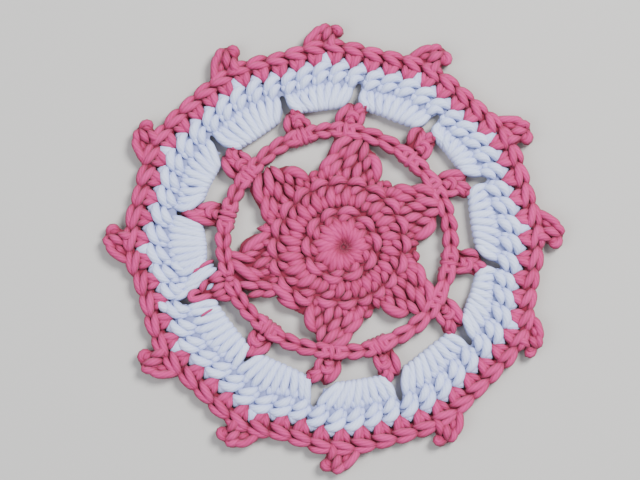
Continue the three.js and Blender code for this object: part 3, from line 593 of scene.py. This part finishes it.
def cotton(name, light, middle, deep, ply_depth, ply_tone, fibre_depth):
    """Soft matte cotton yarn, with painted shade where it dips between its neighbours and a
    painted highlight on top of each strand.

    light, middle, deep: its colours, light with a painted highlight, middle its mid tone, deep in
    painted shade.
    ply_depth, ply_tone: how much its plies show in relief and in lightness. fibre_depth: how much
    its fibres show in relief.
    """
    material = bpy.data.materials.new(name)
    material.use_nodes = True
    nodes = material.node_tree.nodes
    links = material.node_tree.links
    shader = nodes["Principled BSDF"]
    shader.inputs["Roughness"].default_value = 0.85
    shader.inputs["Specular IOR Level"].default_value = 0.2
    shader.inputs["Sheen Weight"].default_value = 0.15
    shader.inputs["Sheen Roughness"].default_value = 0.6

    def math_node(kind, a, b=None, clamp=False):
        node = nodes.new("ShaderNodeMath")
        node.operation = kind
        node.use_clamp = clamp
        for socket, value in zip(node.inputs, (a, b)):
            if value is None:
                continue
            if isinstance(value, (int, float)):
                socket.default_value = value
            else:
                links.new(value, socket)
        return node.outputs[0]

    strand = nodes.new("ShaderNodeUVMap")
    strand.uv_map = "strand"
    parts = nodes.new("ShaderNodeSeparateXYZ")
    links.new(strand.outputs["UV"], parts.inputs[0])
    round_it = math_node("MULTIPLY", parts.outputs["X"], PLIES_ROUND)
    along_it = math_node("MULTIPLY", parts.outputs["Y"], PLIES_ALONG)
    turns = math_node("ADD", round_it, along_it)
    ply = math_node("ABSOLUTE", math_node("SINE", math_node("MULTIPLY", turns, math.pi)))

    stretch = nodes.new("ShaderNodeCombineXYZ")
    links.new(math_node("MULTIPLY", turns, 3.0), stretch.inputs["X"])
    links.new(math_node("MULTIPLY", parts.outputs["Y"], 3.0), stretch.inputs["Y"])
    fibres = nodes.new("ShaderNodeTexNoise")
    fibres.inputs["Scale"].default_value = 2.4
    fibres.inputs["Detail"].default_value = 5.0
    fibres.inputs["Roughness"].default_value = 0.65
    links.new(stretch.outputs[0], fibres.inputs["Vector"])

    place_node = nodes.new("ShaderNodeTexCoord")
    height = nodes.new("ShaderNodeSeparateXYZ")
    links.new(place_node.outputs["Object"], height.inputs[0])
    # Painted shade: the nearer the yarn lies to the middle of the thickness, down between its
    # neighbours, the darker it is painted.
    depth = math_node("ABSOLUTE", math_node("SUBTRACT", height.outputs["Z"], THICKNESS / 2 * MM))
    shallow = nodes.new("ShaderNodeMapRange")
    shallow.interpolation_type = "SMOOTHSTEP"
    shallow.inputs["From Min"].default_value = PAINTED_SHADE_FROM * MM
    shallow.inputs["From Max"].default_value = PAINTED_SHADE_TO * MM
    links.new(depth, shallow.inputs["Value"])

    soft = nodes.new("ShaderNodeTexNoise")
    soft.inputs["Scale"].default_value = 260.0
    soft.inputs["Detail"].default_value = 3.0
    links.new(place_node.outputs["Object"], soft.inputs["Vector"])

    tint = nodes.new("ShaderNodeAttribute")
    tint.attribute_name = "tint"

    # Painted light from the attribute: a painted highlight on the tops of the strands, and painted
    # shade on the inner sheet between them.
    painted_light = nodes.new("ShaderNodeAttribute")
    painted_light.attribute_name = "painted_light"
    lightness = math_node("MULTIPLY", shallow.outputs["Result"], PAINTED_SHADE_BY_HEIGHT)
    for source, amount in (
        (painted_light.outputs["Fac"], PAINTED_CROWN_HIGHLIGHT),
        (ply, ply_tone),
        (soft.outputs["Fac"], LIGHT_FROM_PATCHES),
        (fibres.outputs["Fac"], LIGHT_FROM_FIBRES),
        (tint.outputs["Fac"], LIGHT_FROM_TINT),
    ):
        lightness = math_node("ADD", lightness, math_node("MULTIPLY", source, amount))
    lightness = math_node("SUBTRACT", lightness, LIGHT_TAKEN_OFF, clamp=True)

    ramp = nodes.new("ShaderNodeValToRGB")
    ramp.color_ramp.elements[0].color = (*deep, 1)
    ramp.color_ramp.elements[1].color = (*light, 1)
    ramp.color_ramp.elements.new(MIDDLE_TONE).color = (*middle, 1)
    links.new(lightness, ramp.inputs["Fac"])
    links.new(ramp.outputs["Color"], shader.inputs["Base Color"])

    plies = math_node("MULTIPLY", ply, ply_depth)
    relief = math_node("ADD", plies, math_node("MULTIPLY", fibres.outputs["Fac"], fibre_depth))
    bump = nodes.new("ShaderNodeBump")
    bump.inputs["Strength"].default_value = 1.0
    bump.inputs["Distance"].default_value = 1.0 * MM
    links.new(relief, bump.inputs["Height"])
    links.new(bump.outputs["Normal"], shader.inputs["Normal"])
    return material


# Coral: the light colour is a painted highlight with a painted bluish sheen of the sky on it, and
# the deep colour is painted shade.
coral = cotton(
    "coral_cotton_yarn",
    light=(0.66, 0.045, 0.230),
    middle=(0.35, 0.016, 0.078),
    deep=(0.16, 0.008, 0.024),
    ply_depth=0.11,
    ply_tone=0.12,
    fibre_depth=0.16,
)
# White: all three colours are painted bluish, standing in for the blue cast of the daylight; the
# light colour is a painted highlight, and the deep colour is painted shade.
white = cotton(
    "white_cotton_yarn",
    light=(0.75, 0.81, 1.00),
    middle=(0.50, 0.55, 0.86),
    deep=(0.20, 0.22, 0.40),
    ply_depth=0.09,
    ply_tone=0.08,
    fibre_depth=0.10,
)


# Inner yarn

DRAWN_IN = 0.35
VOXEL = 0.55


def inner_yarn(name, materials):
    """The yarn inside the stitches: the solids pressed flat and drawn in, as one soft sheet,
    painted in shade where it shows between the strands.

    materials: the material of the stitches of each node, the share of its height kept, and the
    painted light of the sheet where it shows between the strands, where less than 0 is painted
    shade.
    """
    sheets = []
    for node, (material, kept, light) in materials.items():
        mesh = bpy.data.objects[node].data.copy()
        mesh.materials.clear()
        piece = bpy.data.objects.new(name + "_" + node, mesh)
        bpy.context.collection.objects.link(piece)
        count = len(mesh.vertices)
        where = np.empty(count * 3)
        mesh.vertices.foreach_get("co", where)
        where = where.reshape(-1, 3)
        normals = np.empty(count * 3)
        mesh.vertices.foreach_get("normal", normals)
        # Painted shade on the sheet where it shows in the gaps between the strands.
        painted_light = mesh.attributes.new("painted_light", "FLOAT", "POINT")
        painted_light.data.foreach_set("value", [light] * count)
        drawn_in = normals.reshape(-1, 3) * np.array([DRAWN_IN, DRAWN_IN, 0]) * MM
        where = where - drawn_in
        where[:, 2] = THICKNESS / 2 * MM * (1 - kept) + where[:, 2] * kept
        mesh.vertices.foreach_set("co", where.ravel())
        mesh.update()
        remesh = piece.modifiers.new("soft", "REMESH")
        remesh.mode = "VOXEL"
        remesh.voxel_size = VOXEL * MM
        smooth = piece.modifiers.new("smooth", "SMOOTH")
        smooth.factor = 0.5
        smooth.iterations = 4
        graph = bpy.context.evaluated_depsgraph_get()
        done = bpy.data.meshes.new_from_object(piece.evaluated_get(graph))
        piece.modifiers.clear()
        piece.data = done
        done.materials.clear()
        done.materials.append(material)
        done.polygons.foreach_set("use_smooth", [True] * len(done.polygons))
        sheets.append(piece)
    with bpy.context.temp_override(active_object=sheets[0], selected_editable_objects=sheets):
        bpy.ops.object.join()
    sheets[0].name = name
    sheets[0].data.name = name
    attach(sheets[0], "root")
    return sheets[0]


# Coral middle

def star_disc(yarn):
    """The star's two rounds of stitches, seen from above, and their like below."""
    def strand(width, *stations, taper=END_SHARE):
        path = [place(*station, STAR_CENTRE) for station in stations]
        yarn.both_sides(path, width=width, taper=taper)

    def to_next(stitches, n):
        return turn_to(stitches[n], stitches[(n + 1) % len(stitches)])

    round_one_angles = [a for a, _ in ROUND_ONE_STITCHES]
    for n, (a, r) in enumerate(ROUND_ONE_STITCHES):
        pitch = to_next(round_one_angles, n)
        for share, far in ((0.2, r - 1.9), (0.68, r - 2.7)):
            strand(
                3.3,
                (a + share * pitch, 0.8, 1.9),
                (a + share * pitch, far * 0.5, 3.0),
                (a + (share + 0.04) * pitch, far, 2.6),
                taper=(0.12, 0.5),
            )
    for n, (a, r) in enumerate(ROUND_ONE_STITCHES):
        pitch = to_next(round_one_angles, n)
        strand(
            2.7,
            (a + pitch * 0.3, r - 1.5, 2.6),
            (a + pitch * 0.7, r - 2.3, 3.2),
            (a + pitch * 1.1, r - 3.6, 2.5),
        )
        strand(
            2.7,
            (a - pitch * 0.05, r - 0.2, 2.6),
            (a + pitch * 0.5, r + 0.1, 3.4),
            (a + pitch * 1.05, r - 1.1, 2.5),
        )
    round_one_radius = round_about(ROUND_ONE_STITCHES)
    for n, a in enumerate(ROUND_TWO_STITCHES):
        pitch = to_next(ROUND_TWO_STITCHES, n)
        r = round_two_radius(a + pitch / 2)
        foot = round_one_radius(a + pitch / 2) + 1.0
        strand(
            3.2,
            (a - 0.24 * pitch, r - 1.4, 2.2),
            (a - 0.02 * pitch, (r + foot) / 2 - 0.5, 3.2),
            (a + 0.1 * pitch, foot, 2.8),
            taper=(0.3, 0.5),
        )
        strand(
            3.1,
            (a + 0.36 * pitch, r - 3.2, 2.2),
            (a + 0.5 * pitch, (r + foot) / 2 - 1.2, 2.8),
            (a + 0.62 * pitch, foot + 0.1, 2.6),
            taper=(0.3, 0.6),
        )
        strand(
            2.6,
            (a + 0.1 * pitch, r - 1.4, 2.7),
            (a + 0.44 * pitch, r - 2.5, 3.4),
            (a + 0.74 * pitch, r - 4.5, 2.5),
        )
        strand(
            2.7,
            (a - 0.1 * pitch, r - 0.5, 2.6),
            (a + 0.4 * pitch, r + 0.4, 3.5),
            (a + 0.96 * pitch, r - 0.8, 2.6),
        )


def star_point(yarn, tip, reach):
    """A point of the star, with its foot moved to where the second round ends there."""
    stretch = (reach - STAR_POINT_FOOT) / (STAR_POINT_REACH - STAR_POINT_FOOT)
    shift = round_two_radius(tip) - STAR_POINT_ROUND
    fade = STAR_POINT_STEADY - STAR_POINT_FOOT
    for row in STAR_POINT_STRANDS:
        path = []
        for turn, radius, height in row["path"]:
            if radius > STAR_POINT_FOOT:
                radius = STAR_POINT_FOOT + (radius - STAR_POINT_FOOT) * stretch
            share = min(max((STAR_POINT_STEADY - radius) / fade, 0), 1)
            path.append(place(tip + turn, radius + shift * share, height, STAR_CENTRE))
        yarn.both_sides(path, width=row["width"] * STAR_POINT_FULLNESS)


def chain_links(yarn):
    """Links of the chain ring between the leaves, each a pair of strands."""
    spans = [leaf["base"] for leaf in LEAVES] + [JOIN_BASE]
    spans.sort()
    for n, (_, start) in enumerate(spans):
        end = start + turn_to(start, spans[(n + 1) % len(spans)][0])
        start += 0.5
        end -= 0.5
        links = max(1, round(math.radians(end - start) * chain_radius(start) / LINK_LENGTH))
        pitch = (end - start) / links
        for k in range(links + 1):
            for out in (1, -1):
                path = []
                for share, spread, height in LINK_STRAND:
                    angle = start + pitch * (k - LINK_END_SHARE + share)
                    radius = chain_radius(angle) + out * spread - CHAIN_INSET
                    path.append(place(angle, radius, height))
                yarn.both_sides(path, width=LINK_WIDTH)


def between(a, b, share, lift=0.0):
    """Angle and radius part of the way from one place to another, moved outwards by lift."""
    return (a[0] + (b[0] - a[0]) * share, a[1] + (b[1] - a[1]) * share + lift)


def wrap(yarn, angle, middle, reach, lean):
    """A loop of yarn round the chain ring."""
    turned = [
        place(angle + lean, middle + reach, 2.7),
        place(angle + lean * 0.6, middle + 1.2, 3.4),
        place(angle, middle - 1.1, 3.3),
        place(angle, middle - 2.3, 2.2),
        place(angle, middle - 1.1, 1.1),
        place(angle + lean * 0.6, middle + 1.2, 1.05),
        place(angle + lean, middle + reach, 1.7),
    ]
    yarn.add(turned, width=WRAP_WIDTH)


def leaf(yarn, side, corner, tip, inside, heart, peak, limb, base):
    """A leaf over the chain ring: its filling, its hood, its knot and the wraps round the ring."""
    def strand(width, *stations, taper=0.45):
        yarn.both_sides([place(a, r, z) for (a, r), z in stations], width=width, taper=taper)

    middle = between(corner, tip, 0.45)
    strand(
        2.4,
        (between(limb[-1], side[0], 0.35), 2.2),
        (between(limb[0], heart, 0.6), 2.8),
        (peak, 2.2),
        taper=0.2,
    )
    strand(
        2.6,
        (between(side[0], limb[-1], 0.35), 2.2),
        (heart, 2.9),
        (between(heart, inside, 0.9), 2.3),
    )
    strand(
        2.3,
        (side[0], 2.6),
        (side[1], 3.1),
        (side[2], 3.0),
        (between(side[2], corner, 0.5), 2.4),
    )
    strand(
        2.4,
        (middle, 2.5),
        (between(middle, inside, 0.5), 3.0),
        (between(inside, heart, 0.3), 2.5),
    )
    strand(2.3, (corner, 2.7), (between(corner, tip, 0.5, 0.1), 3.4), (tip, 2.8), taper=0.2)
    strand(
        2.3,
        (corner, 2.8),
        (between(corner, inside, 0.5, -0.3), 3.2),
        (between(corner, heart, 0.85), 2.5),
    )
    strand(
        2.5,
        (tip, 2.9),
        (between(tip, inside, 0.55), 3.5),
        (between(inside, heart, 0.35), 2.8),
        taper=0.3,
    )
    strand(
        2.2,
        (peak, 2.6),
        (between(peak, heart, 0.5, 0.3), 3.0),
        (between(heart, limb[1], 0.4), 2.5),
        taper=0.3,
    )
    strand(2.6, (peak, 2.8), *[(p, z) for p, z in zip(limb, (3.4, 3.3, 2.7))], taper=0.3)
    around = math.degrees(1 / heart[1])
    strand(
        2.1,
        ((heart[0] - 2.0 * around, heart[1] - 1.3), 2.8),
        ((heart[0] - 1.1 * around, heart[1] + 0.6), 3.4),
        ((heart[0] + 0.6 * around, heart[1] + 0.8), 3.5),
        ((heart[0] + 1.9 * around, heart[1] - 0.7), 2.9),
    )
    strand(
        2.1,
        ((heart[0] - 1.2 * around, heart[1] - 2.2), 2.8),
        ((heart[0] + 0.1 * around, heart[1] - 1.2), 3.5),
        ((heart[0] + 1.7 * around, heart[1] - 2.2), 2.8),
    )
    wraps = max(3, round(math.radians(base[1] - base[0]) * heart[1] / WRAP_WIDTH) + 1)
    for n in range(wraps):
        share = n / (wraps - 1)
        angle = base[0] + share * (base[1] - base[0])
        reach = 2.0 + 0.6 * math.sin(math.pi * share)
        wrap(yarn, angle, chain_radius(angle), reach, lean=(0.5 - share) * 1.5)


# White band

def shell_posts(yarn):
    """The tall stitches of each shell, over its inner edge and back along the underside."""
    for index, s in enumerate(SECTORS):
        after = following(index)
        wide = turn_to(s["slit"], s.get("posts_end", after["slit"]))
        pitch = wide / STITCHES_PER_SHELL
        for n in range(POSTS_PER_SHELL):
            t = n / (POSTS_PER_SHELL - 1)
            late = 1 if t < 0.7 else 2.4
            top = s["slit"] + 0.2 * pitch + t * (wide - 0.4 * pitch)
            low = s["foot"][0] + t * (s["foot"][1] - s["foot"][0])
            edge = edge_radius(low) + 0.5 * (2 * t - 1) ** 2
            outer = rim_radius(top) - 12.4

            def at(share, radius, height):
                angle = top + (low - top) * share**late
                if t < 0.5:
                    angle = clear_of_slit(angle, radius, POST_HALF, index, True)
                else:
                    angle = clear_of_slit(angle, radius, POST_HALF, index + 1, False)
                return place(angle, radius, height)

            middle = (edge + outer) / 2
            high = 3.3 - 0.25 * (n % 2)
            yarn.add(
                [
                    at(0.0, outer, 2.3),
                    at(0.15, outer - (outer - edge) * 0.25, 3.0),
                    at(0.55, middle - 0.6, high),
                    at(0.9, edge + 1.3, high - 0.3),
                    at(1.0, edge + 0.7, 2.2),
                    at(0.9, edge + 1.3, 1.4),
                    at(0.55, middle - 0.6, 1.25),
                    at(0.15, outer - (outer - edge) * 0.25, 1.3),
                    at(0.0, outer, 2.0),
                ],
                width=POST_WIDTH,
            )


def shell_tops(yarn):
    """The tooth of each stitch over the shells, and the strands that cross under it."""
    for index, a, p, n in outer_stitches():
        w = a - 0.5 * p
        r = rim_radius(w)
        top = tooth_top(w)

        def at(share, radius, height):
            angle = w + share * p
            if n == 0 and share > -0.1:
                angle = clear_of_slit(angle, radius, TOP_HALF, index, True)
            if n == 0 and share <= -0.1:
                angle = clear_of_slit(angle, radius, TOP_HALF, index, False)
            if n == STITCHES_PER_SHELL - 1 and share > 0.3:
                angle = clear_of_slit(angle, radius, TOP_HALF, index + 1, False)
            return place(angle, radius, height)

        def strand(width, *stations, **shape):
            yarn.both_sides([at(*station) for station in stations], width=width, **shape)

        strand(2.8, (-0.55, r - 6.9, 1.9), (0.0, r - 6.7, 2.0), (0.55, r - 6.9, 1.9))
        strand(
            4.5,
            (0.02, top - 0.2, 2.8),
            (0.0, top - 2.0, 3.3),
            (0.0, r - 8.8, 2.7),
            flatness=0.58,
            taper=(0.4, 0.5),
        )
        for row in SHELL_TOP_STRANDS:
            strand(row["width"], *[(share, r + out, height) for share, out, height in row["path"]])


# Coral edging

def edging_round(yarn, rows):
    """The strands of the rows, once for each stitch of the edging."""
    for _, a, pitch, _ in outer_stitches():
        rim = rim_radius(a)
        for row in rows:
            path = []
            for share, out, height in row["path"]:
                path.append(place(a + share * pitch, rim + out, height))
            yarn.both_sides(path, width=row["width"], taper=row["taper"])


def picots(yarn):
    for s in SECTORS:
        stretch = (s["reach"] - s["rim"]) / PICOT_HEIGHT
        for row in PICOT_STRANDS:
            path = []
            for along, outwards, height in row["path"]:
                radius = s["rim"] + (outwards * stretch if outwards > 0 else outwards)
                path.append(place(s["picot"] + math.degrees(along / radius), radius, height))
            yarn.both_sides(path, width=row["width"], wobble=0.2)


# Pieces

# The sheet under each node; its last value is the painted shade where it shows between the
# strands.
inner = inner_yarn(
    "inner_yarn",
    {
        "star_and_chain_ring": (coral, 0.34, -0.3),
        "shell_band": (white, 0.34, -0.2),
        "picot_edging": (coral, 0.36, -0.3),
    },
)

disc = Strands(fullness=1.0)
star_disc(disc)
for point in STAR_POINTS:
    star_point(disc, **point)
for row in STAR_JOIN:
    disc.both_sides([place(*station, STAR_CENTRE) for station in row["path"]], width=row["width"])
star_piece = disc.make("star_stitches", coral)

ring = Strands()
chain_links(ring)
ring_piece = ring.make("chain_ring_stitches", coral)

leaves = Strands()
for row in LEAVES:
    leaf(leaves, **row)
for row in JOIN_CORAL:
    leaves.both_sides([place(*station) for station in row["path"]], width=row["width"])
leaves_piece = leaves.make("leaf_stitches", coral)

posts = Strands(fullness=1.0)
shell_posts(posts)
for row in JOIN_WHITE:
    posts.both_sides([place(*station) for station in row["path"]], width=row["width"])
posts_piece = posts.make("shell_posts", white)

tops = Strands(fullness=1.0)
shell_tops(tops)
tops_piece = tops.make("shell_tops", white)

legs = Strands()
edging_round(legs, EDGING_LEG_STRANDS)
legs_piece = legs.make("edging_legs", coral)

braid = Strands()
edging_round(braid, EDGING_BRAID_STRANDS)
braid_piece = braid.make("edging_braid", coral)

knots = Strands()
picots(knots)
picots_piece = knots.make("picot_stitches", coral)

star_pieces = (star_piece, ring_piece, leaves_piece)
band_pieces = (posts_piece, tops_piece)
edging_pieces = (legs_piece, braid_piece, picots_piece)
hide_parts("star_and_chain_ring", "shell_band", "picot_edging")
for pieces, node, slot in (
    (star_pieces, "star_and_chain_ring", "coral_cotton"),
    (band_pieces, "shell_band", "white_cotton"),
    (edging_pieces, "picot_edging", "coral_cotton"),
):
    for piece in pieces:
        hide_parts(node)


# Floor, light and camera

def plain(name, colour, roughness):
    material = bpy.data.materials.new(name)
    material.use_nodes = True
    shader = material.node_tree.nodes["Principled BSDF"]
    shader.inputs["Base Color"].default_value = (*colour, 1)
    shader.inputs["Roughness"].default_value = roughness
    return material


bpy.ops.mesh.primitive_plane_add(size=4, location=(0, 0, -0.0001))
floor = bpy.context.object
floor.name = "floor"
floor.data.materials.append(plain("pale_floor", (0.55, 0.52, 0.48), 0.9))


def area_light(name, position, size, power, colour=(1, 1, 1)):
    data = bpy.data.lights.new(name, "AREA")
    data.shape = "DISK"
    data.size = size
    data.energy = power
    data.color = colour
    light = bpy.data.objects.new(name, data)
    light.location = position
    bpy.context.collection.objects.link(light)
    x, y, z = position
    light.rotation_euler = (math.atan2(math.hypot(x, y), z), 0, math.atan2(-x, y) + math.pi)
    return light


area_light("key_light", (0.55, 0.45, 0.9), 0.5, 22, (0.95, 0.97, 1.0))
area_light("fill_light", (-0.7, -0.3, 0.8), 0.9, 7, (0.86, 0.91, 1.0))

world = bpy.data.worlds.new("soft_sky")
world.use_nodes = True
world.node_tree.nodes["Background"].inputs["Color"].default_value = (0.84, 0.91, 1.0, 1)
world.node_tree.nodes["Background"].inputs["Strength"].default_value = 0.6
bpy.context.scene.world = world

# The camera looks down almost straight, a little from the front, as in the photo.
ELEVATION = 84
DISTANCE = 0.55
SENSOR = 36
AIM = (-0.0042, 0.0017, 0.002)
PIXELS_WIDE = 640
MM_PER_PIXEL = 0.2935
camera_data = bpy.data.cameras.new("camera")
camera_data.sensor_width = SENSOR
camera_data.lens = SENSOR * DISTANCE / (PIXELS_WIDE * MM_PER_PIXEL * MM)
camera_data.clip_start = 0.01
camera = bpy.data.objects.new("camera", camera_data)
lift = math.radians(ELEVATION)
camera.location = (
    AIM[0],
    AIM[1] - DISTANCE * math.cos(lift),
    AIM[2] + DISTANCE * math.sin(lift),
)
camera.rotation_euler = (math.pi / 2 - lift, 0, 0)
bpy.context.collection.objects.link(camera)
bpy.context.scene.camera = camera
